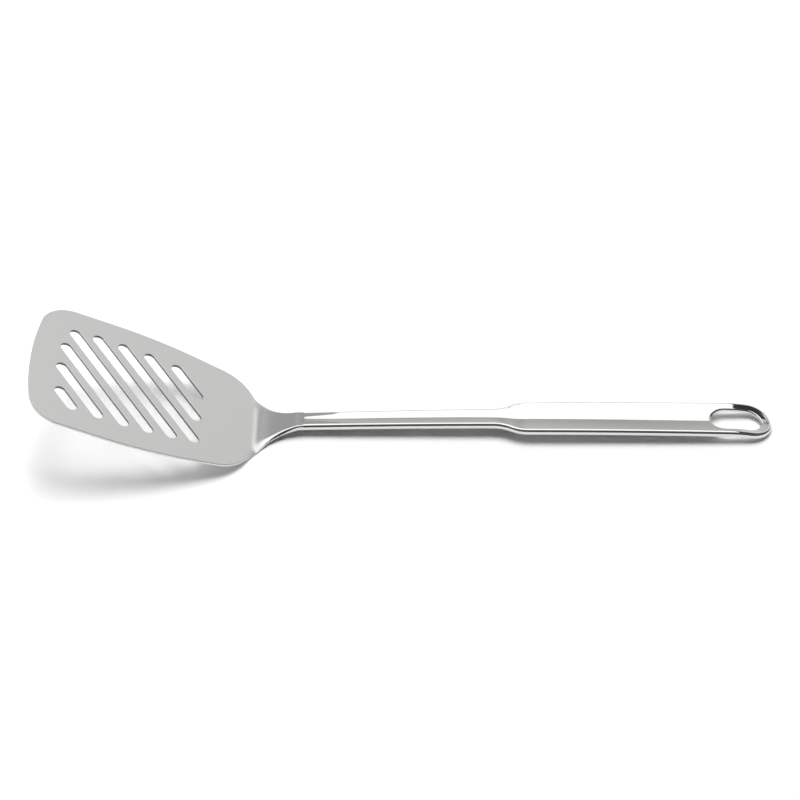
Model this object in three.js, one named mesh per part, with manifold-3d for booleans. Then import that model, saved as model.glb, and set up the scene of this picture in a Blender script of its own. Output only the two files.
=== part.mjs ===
import * as THREE from 'three';
import { mergeVertices } from 'three/addons/utils/BufferGeometryUtils.js';
import Module from 'manifold-3d';

// A stainless steel slotted turner, lying on a table as it comes to rest: on the heel of its blade
// and on the end of its drooped tail. Millimetres, +Z up, +X from the blade towards the hanging hole.
//
// Four pieces are welded into one tool. A thin blade is blanked, slotted and bent up at the heel, and
// its neck has turned-down edges. A pressed top shell carries the neck's line on as shank, flare and
// grip, with a dished top and a turned-down rim. A solid bar lies under the neck and inside the shank,
// and ends as a flat tongue in the hollow grip. A bellied pan closes the grip from below.

const wasm = await Module();
wasm.setup();

const { degToRad, lerp, clamp, smoothstep } = THREE.MathUtils;

// Sheet thicknesses, and the clearance left for the weld between two pieces.
const BLADE_SHEET = 1.2;
const HANDLE_SHEET = 1.0;
const PAN_SHEET = 0.8;
const WELD_GAP = 0.3;

// Side view. The spine is the top of the sheet, followed both ways from the lowest point of the heel.
const BLADE_LENGTH = 106.7;
const BLADE_TILT = degToRad(23.3);
const HEEL_RADIUS = 5;
const NECK_RISE = degToRad(14.7);
const NECK_RUN = 16.6;
const NECK_CREST_RADIUS = 10.5;
const SHANK_RISE = degToRad(1.5);
const CROWN_RADIUS = 3800;
const TAIL_RADIUS = 65;

// Plan view of the blade: a bowed tip, round corners, sides that draw in to the shoulders, and a neck.
const BLADE_HALF_WIDTH = 40.9;
const TIP_RADIUS = 180;
const CORNER_RADIUS = 15.5;
const SIDE_BOW_RADIUS = 204;
const SIDE_ANGLE = degToRad(12);
const SIDE_RUN = 11.5;
const SHOULDER_RADIUS = 22;
const SHOULDER_ANGLE = degToRad(55);
const THROAT_RADIUS = 26.1;
const NECK_HALF_WIDTH = 5.35;
const NECK_FROM_HEEL = 23.2;

// Plan view of the handle, with its lengths taken along the spine.
const SHANK_LENGTH = 84.1;
const SHANK_HALF_WIDTH = 6.1;
const FLARE_LENGTH = 16.3;
const GRIP_LENGTH = 111.3;
const GRIP_HALF_WIDTH = 10.75;
const TAIL_HALF_WIDTH = 11.4;

// Slots: parallel, round-ended, and cut to the bounds of one field with rounded corners at the tip.
const SLOT_COUNT = 8;
const SLOT_WIDTH = 5.3;
const SLOT_PITCH = 9.47;
const SLOT_ANGLE = degToRad(52.1);
const SLOT_SIDE_MARGIN = 12.3;
const SLOT_TIP_MARGIN = 12.1;
const SLOT_HEEL_LAND = 26;
const SLOT_FIELD_CORNER = 5.5;
const SLOT_PATTERN_FROM_HEEL = 63.3;

// Edges, rim and dish.
const BLADE_EDGE_RADIUS = 0.25;
const RIM_RADIUS = 0.9;
const RIM_WALL = 2.4;
const FLANGE_FROM_HEEL = 3;
const BLADE_END_FROM_HEEL = 21.9;
const SHANK_DISH = 0.45;
const GRIP_DISH = 1.4;
const DISH_RUN_IN = 14;

// Hanging hole, with an edge turned down as a collar.
const HOLE_LENGTH = 22.8;
const HOLE_WIDTH = 13.7;
const HOLE_FROM_TAIL = 5.2;

// Bar and pan.
const BAR_THICKNESS = 2.6;
const BAR_SCARF_TIP = 0.8;
const BAR_CORNER = 0.9;
const BAR_LAP_UNDER_NECK = 11;
const TONGUE_IN_GRIP = 32;
const TONGUE_TAPER = 9;
const PAN_LAP_IN_FLARE = 7;
const PAN_TO_HOLE = 7;
const GRIP_BELLY = 2.9;
const PAN_END_RUN = 24;

// Faceting: the widest turn of one facet, the facets on each kind of curve, the closest stations, and
// the rounds in which the tail's droop settles.
const ARC_STEP = degToRad(6);
const WIDE_ARC_STEP = degToRad(1.5);
const DISH_FACETS = 8;
const ROUND_END_FACETS = 10;
const FLARE_FACETS = 10;
const RIM_FACETS = 2;
const EASE_FACETS = 6;
const CLOSEST_STATIONS = 0.3;
const DROOP_ROUNDS = 20;

// Places along the spine, and sizes that follow from the ones above.
const shellStart = BLADE_END_FROM_HEEL + WELD_GAP;
const flareStart = NECK_FROM_HEEL + SHANK_LENGTH;
const gripStart = flareStart + FLARE_LENGTH;
const tailEnd = gripStart + GRIP_LENGTH;
const tailCentre = tailEnd - TAIL_HALF_WIDTH;
const barStart = BLADE_END_FROM_HEEL - BAR_LAP_UNDER_NECK;
const barEnd = gripStart + TONGUE_IN_GRIP;
const barHalfWidth = NECK_HALF_WIDTH - Math.max(BLADE_SHEET, HANDLE_SHEET) - WELD_GAP;
const panStart = gripStart - PAN_LAP_IN_FLARE;
const panEnd = tailEnd - HOLE_FROM_TAIL - HOLE_LENGTH - PAN_TO_HOLE;

// The spine is a chain of arcs and straights. A bend is a turn per millimetre, positive upwards.
function arc(radius, turn) {
  return { length: radius * Math.abs(turn), bend: Math.sign(turn) / radius };
}

function straight(length) {
  return { length, bend: 0 };
}

function follow(chain, distance) {
  const at = { x: 0, z: 0, slope: 0 };
  let left = distance;
  for (const { length, bend } of chain) {
    const run = Math.min(left, length);
    const turned = at.slope + run * bend;
    if (bend === 0) {
      at.x += run * Math.cos(at.slope);
      at.z += run * Math.sin(at.slope);
    } else {
      at.x += (Math.sin(turned) - Math.sin(at.slope)) / bend;
      at.z += (Math.cos(at.slope) - Math.cos(turned)) / bend;
    }
    at.slope = turned;
    left -= run;
  }
  return at;
}

const bladeChain = [arc(HEEL_RADIUS, BLADE_TILT), straight(BLADE_LENGTH)];
const neckChain = [
  arc(HEEL_RADIUS, NECK_RISE),
  straight(NECK_RUN),
  arc(NECK_CREST_RADIUS, SHANK_RISE - NECK_RISE),
];

// The handle is one long crown as far as the tail's bend. The tail droops until its lower edge stands
// on the same level as the underside of the heel, and a longer bend leaves a shorter crown.
function drawHandleChain() {
  const neckLength = neckChain.reduce((sum, { length }) => sum + length, 0);
  let chain = neckChain;
  let droop = 0;
  for (let round = 0; round < DROOP_ROUNDS; round += 1) {
    const crownLength = tailEnd - neckLength - TAIL_RADIUS * droop;
    const crowned = [...neckChain, arc(CROWN_RADIUS, -crownLength / CROWN_RADIUS)];
    const { z, slope } = follow(crowned, neckLength + crownLength);
    const level = (TAIL_RADIUS * Math.cos(slope) - z - BLADE_SHEET) / (TAIL_RADIUS - RIM_WALL);
    droop = Math.acos(level) + slope;
    chain = [...crowned, arc(TAIL_RADIUS, -droop)];
  }
  return chain;
}

const handleChain = drawHandleChain();

function spine(s) {
  if (s >= 0) return follow(handleChain, s);
  const mirrored = follow(bladeChain, -s);
  return { x: -mirrored.x, z: mirrored.z, slope: -mirrored.slope };
}

// A point at distance s along the spine, y across it and n above the sheet's top face.
function place(s, y, n) {
  const { x, z, slope } = spine(s);
  return new THREE.Vector3(x - n * Math.sin(slope), y, z + n * Math.cos(slope));
}

// Half the blade's outline as (s, half-width) points, drawn from the neck to the tip.
// The heading is 0 towards the tip and grows as the outline widens.
function drawBladeOutline() {
  const points = [new THREE.Vector2(NECK_FROM_HEEL, NECK_HALF_WIDTH)];
  let heading = 0;

  function bendTo(to, radius, step) {
    const from = heading;
    const start = points.at(-1);
    const steps = Math.ceil(Math.abs(to - from) / step);
    const signed = radius * Math.sign(to - from);
    for (let i = 1; i <= steps; i += 1) {
      const a = lerp(from, to, i / steps);
      const back = signed * (Math.sin(a) - Math.sin(from));
      const out = signed * (Math.cos(from) - Math.cos(a));
      points.push(new THREE.Vector2(start.x - back, start.y + out));
    }
    heading = to;
  }

  function run(length) {
    const start = points.at(-1);
    const back = length * Math.cos(heading);
    const out = length * Math.sin(heading);
    points.push(new THREE.Vector2(start.x - back, start.y + out));
  }

  // The straight of the shoulder takes up what the curves leave of the way from neck to full width.
  const throatRise = THROAT_RADIUS * (1 - Math.cos(SHOULDER_ANGLE));
  const shoulderRise = SHOULDER_RADIUS * (Math.cos(SIDE_ANGLE) - Math.cos(SHOULDER_ANGLE));
  const sideRise = SIDE_RUN * Math.sin(SIDE_ANGLE) + SIDE_BOW_RADIUS * (1 - Math.cos(SIDE_ANGLE));
  const straightRise = BLADE_HALF_WIDTH - NECK_HALF_WIDTH - throatRise - shoulderRise - sideRise;
  bendTo(SHOULDER_ANGLE, THROAT_RADIUS, ARC_STEP);
  run(straightRise / Math.sin(SHOULDER_ANGLE));
  bendTo(SIDE_ANGLE, SHOULDER_RADIUS, ARC_STEP);
  run(SIDE_RUN);
  bendTo(0, SIDE_BOW_RADIUS, WIDE_ARC_STEP);

  // The corner is a fillet between the parallel side and the bowed tip.
  const tipCentre = TIP_RADIUS - BLADE_LENGTH;
  const cornerWidth = BLADE_HALF_WIDTH - CORNER_RADIUS;
  const lean = Math.asin(cornerWidth / (TIP_RADIUS - CORNER_RADIUS));
  const cornerCentre = tipCentre - (TIP_RADIUS - CORNER_RADIUS) * Math.cos(lean);
  run(points.at(-1).x - cornerCentre);
  for (let i = 1; i <= ROUND_END_FACETS; i += 1) {
    const a = lerp(0, Math.PI / 2 - lean, i / ROUND_END_FACETS);
    const back = CORNER_RADIUS * Math.sin(a);
    points.push(new THREE.Vector2(cornerCentre - back, cornerWidth + CORNER_RADIUS * Math.cos(a)));
  }
  const tipFacets = Math.ceil(lean / WIDE_ARC_STEP);
  for (let i = tipFacets - 1; i >= 1; i -= 1) {
    const a = lerp(0, lean, i / tipFacets);
    points.push(new THREE.Vector2(tipCentre - TIP_RADIUS * Math.cos(a), TIP_RADIUS * Math.sin(a)));
  }
  return points.reverse();
}

// Half the handle's outline, from the neck to the start of the round tail. The flare is two equal arcs.
function drawHandleOutline() {
  const points = [];
  const rise = GRIP_HALF_WIDTH - SHANK_HALF_WIDTH;
  const flareRadius = (FLARE_LENGTH ** 2 + rise ** 2) / (4 * rise);
  for (let i = 0; i <= FLARE_FACETS; i += 1) {
    const along = (FLARE_LENGTH * i) / FLARE_FACETS;
    const fromEnd = Math.min(along, FLARE_LENGTH - along);
    const sag = flareRadius - Math.sqrt(flareRadius ** 2 - fromEnd ** 2);
    const out = along < FLARE_LENGTH / 2 ? sag : rise - sag;
    points.push(new THREE.Vector2(flareStart + along, SHANK_HALF_WIDTH + out));
  }
  points.push(new THREE.Vector2(tailCentre, TAIL_HALF_WIDTH));
  return points;
}

const bladeOutline = drawBladeOutline();
const outline = [...bladeOutline, ...drawHandleOutline()];

// Half-width at s, drawn in by an inset. Past the tail's centre the outline is a half circle.
function halfWidth(s, inset = 0) {
  if (s > tailCentre) {
    const radius = TAIL_HALF_WIDTH - inset;
    return Math.sqrt(Math.max(radius ** 2 - (s - tailCentre) ** 2, 0));
  }
  const next = Math.max(outline.findIndex((point) => point.x >= s), 1);
  const before = outline[next - 1];
  const after = outline[next];
  const t = clamp((s - before.x) / (after.x - before.x), 0, 1);
  return lerp(before.y, after.y, t) - inset;
}

// Places that a loft has to pass through: outline points, steps on the spine's arcs, eased runs.
function gatherMarks() {
  const marks = outline.map(({ x }) => x);
  for (const [chain, side] of [[bladeChain, -1], [handleChain, 1]]) {
    let start = 0;
    for (const { length, bend } of chain) {
      const steps = Math.max(1, Math.ceil((length * Math.abs(bend)) / ARC_STEP));
      for (let i = 0; i <= steps; i += 1) marks.push(side * (start + (length * i) / steps));
      start += length;
    }
  }
  const easedRuns = [
    [FLANGE_FROM_HEEL, BLADE_END_FROM_HEEL],
    [shellStart, shellStart + DISH_RUN_IN],
    [flareStart - DISH_RUN_IN, gripStart],
    [panStart - TONGUE_TAPER, panStart],
    [panEnd - PAN_END_RUN, panEnd],
  ];
  for (const [from, to] of easedRuns) {
    for (let i = 0; i <= EASE_FACETS; i += 1) marks.push(lerp(from, to, i / EASE_FACETS));
  }
  return marks.sort((a, b) => a - b);
}

const marks = gatherMarks();

function stationsBetween(from, to) {
  const stations = [from];
  for (const s of marks) {
    if (s - stations.at(-1) > CLOSEST_STATIONS && to - s > CLOSEST_STATIONS) stations.push(s);
  }
  return [...stations, to];
}

// Stations round the half circle of the tail, for an outline that is drawn in by an inset.
function tailStations(inset) {
  const stations = [];
  for (let i = 1; i <= ROUND_END_FACETS; i += 1) {
    const a = lerp(0, Math.PI / 2, i / ROUND_END_FACETS);
    stations.push(tailCentre + (TAIL_HALF_WIDTH - inset) * Math.sin(a));
  }
  return stations;
}

// Rows of points in space, one for each station, from faceAt(s) as (y, n) points from +y to -y.
function rowsAlong(stations, faceAt) {
  return stations.map((s) => faceAt(s).map(({ x: y, y: n }) => place(s, y, n)));
}

// A closed plate between an upper and a lower grid of as many points. Points may coincide.
function plate(upper, lower, closedTail = false) {
  const corners = [];

  function quad(a, b, c, d) {
    corners.push(a, b, c, a, c, d);
  }

  const last = upper[0].length - 1;
  for (let i = 0; i < upper.length - 1; i += 1) {
    for (let j = 0; j < last; j += 1) {
      quad(upper[i][j], upper[i][j + 1], upper[i + 1][j + 1], upper[i + 1][j]);
      quad(lower[i][j + 1], lower[i][j], lower[i + 1][j], lower[i + 1][j + 1]);
    }
    quad(lower[i][0], upper[i][0], upper[i + 1][0], lower[i + 1][0]);
    quad(upper[i][last], lower[i][last], lower[i + 1][last], upper[i + 1][last]);
  }
  for (let j = 0; j < last; j += 1) {
    quad(upper[0][j + 1], upper[0][j], lower[0][j], lower[0][j + 1]);
    if (!closedTail) quad(upper.at(-1)[j], upper.at(-1)[j + 1], lower.at(-1)[j + 1], lower.at(-1)[j]);
  }
  return toSolid(new THREE.BufferGeometry().setFromPoints(corners));
}

function toSolid(geometry) {
  geometry.deleteAttribute('normal');
  geometry.deleteAttribute('uv');
  const merged = mergeVertices(geometry, 1e-4);
  const corners = merged.index.array;
  const triangles = [];
  for (let i = 0; i < corners.length; i += 3) {
    const [a, b, c] = corners.slice(i, i + 3);
    if (a !== b && b !== c && c !== a) triangles.push(a, b, c);
  }
  return new wasm.Manifold(new wasm.Mesh({
    numProp: 3,
    vertProperties: new Float32Array(merged.attributes.position.array),
    triVerts: new Uint32Array(triangles),
  }));
}

function toMesh(name, solid, material) {
  const { vertProperties, triVerts } = solid.getMesh();
  const geometry = new THREE.BufferGeometry();
  geometry.setAttribute('position', new THREE.BufferAttribute(new Float32Array(vertProperties), 3));
  geometry.setIndex(new THREE.BufferAttribute(new Uint32Array(triVerts), 1));
  geometry.computeVertexNormals();
  const mesh = new THREE.Mesh(geometry, material);
  mesh.name = name;
  return mesh;
}

// A round-ended prism between two points, standing on z = bottom.
function roundEndedPrism(from, to, radius, bottom, height) {
  const turn = Math.atan2(to.y - from.y, to.x - from.x);
  const shape = new THREE.Shape();
  shape.absarc(to.x, to.y, radius, turn - Math.PI / 2, turn + Math.PI / 2);
  shape.absarc(from.x, from.y, radius, turn + Math.PI / 2, turn + 1.5 * Math.PI);
  const options = { depth: height, bevelEnabled: false, curveSegments: ROUND_END_FACETS };
  return new THREE.ExtrudeGeometry(shape, options).translate(0, 0, bottom);
}

// Half a rounded rim, from its wall to the top, at +w.
function rimArc(w, radius) {
  const points = [];
  for (let i = 0; i <= RIM_FACETS; i += 1) {
    const a = lerp(0, Math.PI / 2, i / RIM_FACETS);
    points.push(new THREE.Vector2(w - radius * (1 - Math.cos(a)), radius * (Math.sin(a) - 1)));
  }
  return points;
}

// A face that is the same on both sides of the spine, from the points on its +y side.
function mirrored(points) {
  return [...points, ...points.map(({ x, y }) => new THREE.Vector2(-x, y)).reverse()];
}

// Slotted blade: a flat sheet with rounded upper edges that are turned down along the neck.
function edgeRadius(s) {
  return lerp(BLADE_EDGE_RADIUS, RIM_RADIUS, smoothstep(s, FLANGE_FROM_HEEL, BLADE_END_FROM_HEEL));
}

function edgeDepth(s) {
  return lerp(BLADE_SHEET, RIM_WALL, smoothstep(s, FLANGE_FROM_HEEL, BLADE_END_FROM_HEEL));
}

function bladeUpper(s) {
  const w = halfWidth(s);
  return mirrored([new THREE.Vector2(w, -edgeDepth(s)), ...rimArc(w, edgeRadius(s))]);
}

function bladeLower(s) {
  const w = halfWidth(s, BLADE_SHEET);
  const corner = new THREE.Vector2(w, -BLADE_SHEET);
  return mirrored([new THREE.Vector2(w, -edgeDepth(s)), ...Array(RIM_FACETS + 1).fill(corner)]);
}

// Axes of the blade's plane: x along the spine, y across and z out of the upper face.
function bladePlane() {
  const { slope } = spine(-BLADE_LENGTH);
  const along = new THREE.Vector3(Math.cos(slope), 0, Math.sin(slope));
  const across = new THREE.Vector3(0, 1, 0);
  const up = new THREE.Vector3(-Math.sin(slope), 0, Math.cos(slope));
  const zero = place(-BLADE_LENGTH, 0, 0).addScaledVector(along, BLADE_LENGTH);
  return new THREE.Matrix4().makeBasis(along, across, up).setPosition(zero);
}

// The slots' field keeps its margins from the bowed tip, the sides and the heel.
function inSlotField({ x, y }) {
  const radius = SLOT_WIDTH / 2;
  const tipCentre = TIP_RADIUS - BLADE_LENGTH;
  const fromTip = TIP_RADIUS - Math.hypot(x - tipCentre, y) - SLOT_TIP_MARGIN - radius;
  const fromSide = halfWidth(x, SLOT_SIDE_MARGIN) - Math.abs(y) - radius;
  const fromHeel = -SLOT_HEEL_LAND - x - radius;
  const intoTip = Math.max(SLOT_FIELD_CORNER - fromTip, 0);
  const intoSide = Math.max(SLOT_FIELD_CORNER - fromSide, 0);
  return fromHeel >= 0 && Math.hypot(intoTip, intoSide) <= SLOT_FIELD_CORNER;
}

// One slot of the pattern, grown both ways from its middle to the edge of the field.
function slotCutter(number) {
  const direction = new THREE.Vector2(-Math.cos(SLOT_ANGLE), Math.sin(SLOT_ANGLE));
  const offset = (number - (SLOT_COUNT - 1) / 2) * SLOT_PITCH;
  const middle = new THREE.Vector2(Math.sin(SLOT_ANGLE), Math.cos(SLOT_ANGLE)).multiplyScalar(offset);
  middle.x -= SLOT_PATTERN_FROM_HEEL;
  const step = 0.05;
  const [near, far] = [-1, 1].map((way) => {
    const end = middle.clone();
    while (inSlotField(end)) end.addScaledVector(direction, way * step);
    return end;
  });
  const prism = roundEndedPrism(near, far, SLOT_WIDTH / 2, -2 * BLADE_SHEET, 3 * BLADE_SHEET);
  return toSolid(prism.applyMatrix4(bladePlane()));
}

function makeBlade() {
  const stations = stationsBetween(bladeOutline[0].x, BLADE_END_FROM_HEEL);
  let blade = plate(rowsAlong(stations, bladeUpper), rowsAlong(stations, bladeLower));
  for (let number = 0; number < SLOT_COUNT; number += 1) blade = blade.subtract(slotCutter(number));
  return blade;
}

// Handle top shell: a rim turned down all round a dished top.
function dishAt(s) {
  const shank = SHANK_DISH * smoothstep(s, shellStart, shellStart + DISH_RUN_IN);
  const grip = (GRIP_DISH - SHANK_DISH) * smoothstep(s, flareStart - DISH_RUN_IN, gripStart);
  const round = s > tailCentre ? (halfWidth(s) / TAIL_HALF_WIDTH) ** 2 : 1;
  return (shank + grip) * round;
}

function rimRadius(s) {
  return Math.min(RIM_RADIUS, halfWidth(s) / 2);
}

function dishDepth(s, y) {
  const reach = Math.max(halfWidth(s) - rimRadius(s), 1e-6);
  return dishAt(s) * Math.max(1 - (y / reach) ** 2, 0);
}

// Points across the dish from +reach to -reach, its ends left out, lowered by a thickness.
function dishPoints(s, reach, lowered) {
  const points = [];
  for (let i = 1; i < DISH_FACETS; i += 1) {
    const y = lerp(reach, -reach, i / DISH_FACETS);
    points.push(new THREE.Vector2(y, -dishDepth(s, y) - lowered));
  }
  return points;
}

function shellUpper(s) {
  const w = halfWidth(s);
  const radius = rimRadius(s);
  const side = mirrored([new THREE.Vector2(w, -RIM_WALL), ...rimArc(w, radius)]);
  side.splice(side.length / 2, 0, ...dishPoints(s, w - radius, 0));
  return side;
}

function shellLower(s, sheet = HANDLE_SHEET) {
  const w = halfWidth(s, sheet);
  const corner = new THREE.Vector2(w, -sheet);
  const side = mirrored([new THREE.Vector2(w, -RIM_WALL), ...Array(RIM_FACETS + 1).fill(corner)]);
  side.splice(side.length / 2, 0, ...dishPoints(s, w, sheet));
  return side;
}

// A prism through the hanging hole, grown sideways.
function holePrism(grown) {
  const radius = HOLE_WIDTH / 2;
  const rear = new THREE.Vector2(spine(tailEnd).x - HOLE_FROM_TAIL - radius, 0);
  const front = new THREE.Vector2(rear.x - HOLE_LENGTH + HOLE_WIDTH, 0);
  const height = spine(gripStart).z;
  return toSolid(roundEndedPrism(front, rear, radius + grown, -height, 3 * height));
}

// The plug that becomes the collar reaches from half-way through the sheet to the rim's lower edge.
function collarPlug() {
  const inset = HANDLE_SHEET / 2;
  const stations = [...stationsBetween(panEnd, tailCentre), ...tailStations(inset).slice(0, -1)];
  const upper = rowsAlong(stations, (s) => shellLower(s, inset).slice(1, -1));
  const lower = rowsAlong(stations, (s) => shellLower(s, inset).slice(1, -1).map(({ x }) => (
    new THREE.Vector2(x, -RIM_WALL)
  )));
  return plate(upper, lower).intersect(holePrism(HANDLE_SHEET));
}

function makeTopShell() {
  const straightStations = stationsBetween(shellStart, tailCentre);
  const upper = rowsAlong([...straightStations, ...tailStations(0)], shellUpper);
  const lower = rowsAlong([...straightStations, ...tailStations(HANDLE_SHEET)], (s) => shellLower(s));
  return plate(upper, lower, true).add(collarPlug()).subtract(holePrism(0));
}

// Bottom pan: a bellied strip between the walls of the grip, from the flare to short of the hole.
// Its edges are flush with the rim's lower edge, or lower where the sheet above needs the room.
function panHalfWidth(s) {
  return halfWidth(s, HANDLE_SHEET + WELD_GAP);
}

function panEdge(s) {
  const room = HANDLE_SHEET + dishDepth(s, panHalfWidth(s)) + WELD_GAP + PAN_SHEET;
  return Math.max(RIM_WALL, room);
}

function panDepth(s, y) {
  const closed = HANDLE_SHEET + GRIP_DISH + WELD_GAP + PAN_SHEET - panEdge(s);
  const belly = lerp(GRIP_BELLY, closed, smoothstep(s, panEnd - PAN_END_RUN, panEnd));
  return panEdge(s) + belly * Math.max(1 - (y / panHalfWidth(s)) ** 2, 0);
}

function panFace(s, raised) {
  const w = panHalfWidth(s);
  const points = [];
  for (let i = 0; i <= DISH_FACETS; i += 1) {
    const y = lerp(w, -w, i / DISH_FACETS);
    points.push(new THREE.Vector2(y, raised - panDepth(s, y)));
  }
  return points;
}

function makePan() {
  const stations = stationsBetween(panStart, panEnd);
  const upper = rowsAlong(stations, (s) => panFace(s, PAN_SHEET));
  const lower = rowsAlong(stations, (s) => panFace(s, 0));
  return plate(upper, lower);
}

// Bar: scarfed under the neck, full in the shank, and thinned to a tongue between dish and pan.
function barTop(s) {
  const sheet = lerp(BLADE_SHEET, HANDLE_SHEET, smoothstep(s, shellStart, flareStart));
  return -(sheet + dishAt(s) + WELD_GAP);
}

function barBottom(s) {
  const thickness = lerp(BAR_SCARF_TIP, BAR_THICKNESS, smoothstep(s, barStart, shellStart));
  const full = barTop(s) - thickness;
  const abovePan = PAN_SHEET + WELD_GAP - panDepth(Math.max(s, panStart), barHalfWidth);
  return lerp(full, abovePan, smoothstep(s, panStart - TONGUE_TAPER, panStart - WELD_GAP));
}

function barUpper(s) {
  const corner = Math.min(BAR_CORNER, (barTop(s) - barBottom(s)) / 2);
  return mirrored([
    new THREE.Vector2(barHalfWidth, barBottom(s) + corner),
    new THREE.Vector2(barHalfWidth, barTop(s)),
  ]);
}

function barLower(s) {
  const corner = Math.min(BAR_CORNER, (barTop(s) - barBottom(s)) / 2);
  const foot = new THREE.Vector2(barHalfWidth - corner, barBottom(s));
  return mirrored([foot, foot]);
}

function makeBar() {
  const stations = stationsBetween(barStart, barEnd);
  return plate(rowsAlong(stations, barUpper), rowsAlong(stations, barLower));
}

const satinSteel = new THREE.MeshStandardMaterial({ color: 0xcdcdcb, metalness: 1, roughness: 0.45 });
const polishedSteel = new THREE.MeshStandardMaterial({ color: 0xd9d9d8, metalness: 1, roughness: 0.08 });
const plainSteel = new THREE.MeshStandardMaterial({ color: 0xb9b9b8, metalness: 1, roughness: 0.3 });

const tool = new THREE.Group();
tool.add(
  toMesh('slotted_blade', makeBlade(), satinSteel),
  toMesh('handle_top_shell', makeTopShell(), polishedSteel),
  toMesh('handle_bottom_pan', makePan(), polishedSteel),
  toMesh('shank_bar', makeBar(), plainSteel),
);

// The origin is the middle of the tool's footprint, on the surface that it lies on.
const extent = new THREE.Box3().setFromObject(tool);
const centre = extent.getCenter(new THREE.Vector3());
tool.position.set(-centre.x, -centre.y, -extent.min.z);

export default tool;
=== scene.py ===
# %% [markdown]
# # A slotted turner in stainless steel
# The tool is pressed from thin sheet and welded: a satin blade with slanted drain slots, a neck whose
# edges are turned down, and a mirror-polished handle with a dished top and a hanging hole. The CAD model
# already holds every size, so this file only gives the pieces their fine shape, their finish and a
# studio.

# %% Load the frame
import math

import bmesh
import bpy
import numpy as np
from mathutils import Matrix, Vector


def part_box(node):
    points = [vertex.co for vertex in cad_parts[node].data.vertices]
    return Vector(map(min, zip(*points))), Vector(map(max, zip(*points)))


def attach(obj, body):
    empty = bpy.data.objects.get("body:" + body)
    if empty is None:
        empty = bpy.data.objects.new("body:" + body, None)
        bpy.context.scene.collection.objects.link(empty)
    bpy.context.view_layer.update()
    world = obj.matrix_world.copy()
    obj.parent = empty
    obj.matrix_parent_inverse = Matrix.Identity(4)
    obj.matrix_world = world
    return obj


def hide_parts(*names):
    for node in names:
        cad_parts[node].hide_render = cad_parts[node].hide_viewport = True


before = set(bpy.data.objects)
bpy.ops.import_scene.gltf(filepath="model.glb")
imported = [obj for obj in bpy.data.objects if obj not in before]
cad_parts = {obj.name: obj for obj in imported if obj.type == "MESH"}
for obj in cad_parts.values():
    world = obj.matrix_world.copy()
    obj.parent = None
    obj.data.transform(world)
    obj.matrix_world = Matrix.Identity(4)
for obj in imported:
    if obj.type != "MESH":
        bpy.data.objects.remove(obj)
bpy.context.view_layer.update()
print("CAD nodes:", ", ".join(sorted(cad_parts)))

# %% [markdown]
# ## Camera
# The photograph looks down on the tool from the long side, with a long lens. A camera could be placed by
# eye, but the tool is symmetrical about its centre line, so its height, turn and lens were worked out
# from pairs of points on the two sides. The numbers below come from that.

# %% Camera
def new_object(name, data):
    obj = bpy.data.objects.new(name, data)
    bpy.context.collection.objects.link(obj)
    return obj


CAMERA_LENS = 110.07
CAMERA_DISTANCE = 1.1193
CAMERA_ELEVATION = math.radians(38)
CAMERA_TURN = math.radians(-0.31)
CAMERA_TARGET = Vector((-0.00244, 0.01622, 0.00388))

back = Vector((
    math.sin(CAMERA_TURN) * math.cos(CAMERA_ELEVATION),
    -math.cos(CAMERA_TURN) * math.cos(CAMERA_ELEVATION),
    math.sin(CAMERA_ELEVATION),
))
camera_data = bpy.data.cameras.new("camera")
camera_data.lens = CAMERA_LENS
camera_data.sensor_width = 36
camera = new_object("camera", camera_data)
camera.location = CAMERA_TARGET + back * CAMERA_DISTANCE
camera.rotation_euler = back.to_track_quat("Z", "Y").to_euler()
bpy.context.scene.camera = camera
bpy.context.scene.view_settings.view_transform = "Standard"
print("camera at", [round(c, 3) for c in camera.location])

# %% [markdown]
# ## The spine
# Seen from the side, the whole tool is one bent line: a flat blade, a heel bend, a rising neck, a
# slightly crowned shank and a drooped tail. A curve object could hold that line, but arcs and straights
# that follow each other are what a press brake makes, and they give exact positions. `place` takes a
# distance along the line, a distance across it and a height above the sheet, all in millimetres, and
# gives the point in the frame in metres.

# %% Spine
BLADE_LENGTH = 106.7
BLADE_TILT = math.radians(23.3)
HEEL_RADIUS = 5.0
NECK_RISE = math.radians(14.7)
NECK_RUN = 16.6
NECK_CREST_RADIUS = 10.5
SHANK_RISE = math.radians(1.5)
CROWN_RADIUS = 3800.0
TAIL_RADIUS = 65.0
BLADE_SHEET = 1.2
HANDLE_SHEET = 1.0
RIM_WALL = 2.4
NECK_FROM_HEEL = 23.2
SHANK_LENGTH = 84.1
FLARE_LENGTH = 16.3
GRIP_LENGTH = 111.3
TAIL_HALF_WIDTH = 11.4
DROOP_ROUNDS = 20

FLARE_START = NECK_FROM_HEEL + SHANK_LENGTH
GRIP_START = FLARE_START + FLARE_LENGTH
TAIL_END = GRIP_START + GRIP_LENGTH
TAIL_CENTRE = TAIL_END - TAIL_HALF_WIDTH


def bend(radius, turn):
    return radius * abs(turn), math.copysign(1 / radius, turn)


def follow(chain, distance):
    x, z, slope, left = 0.0, 0.0, 0.0, distance
    for length, turn in chain:
        run = min(left, length)
        if turn == 0:
            x += run * math.cos(slope)
            z += run * math.sin(slope)
        else:
            after = slope + run * turn
            x += (math.sin(after) - math.sin(slope)) / turn
            z += (math.cos(slope) - math.cos(after)) / turn
            slope = after
        left -= run
    return x, z, slope


blade_chain = [bend(HEEL_RADIUS, BLADE_TILT), (BLADE_LENGTH, 0)]
neck_chain = [
    bend(HEEL_RADIUS, NECK_RISE),
    (NECK_RUN, 0),
    bend(NECK_CREST_RADIUS, SHANK_RISE - NECK_RISE),
]


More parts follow.
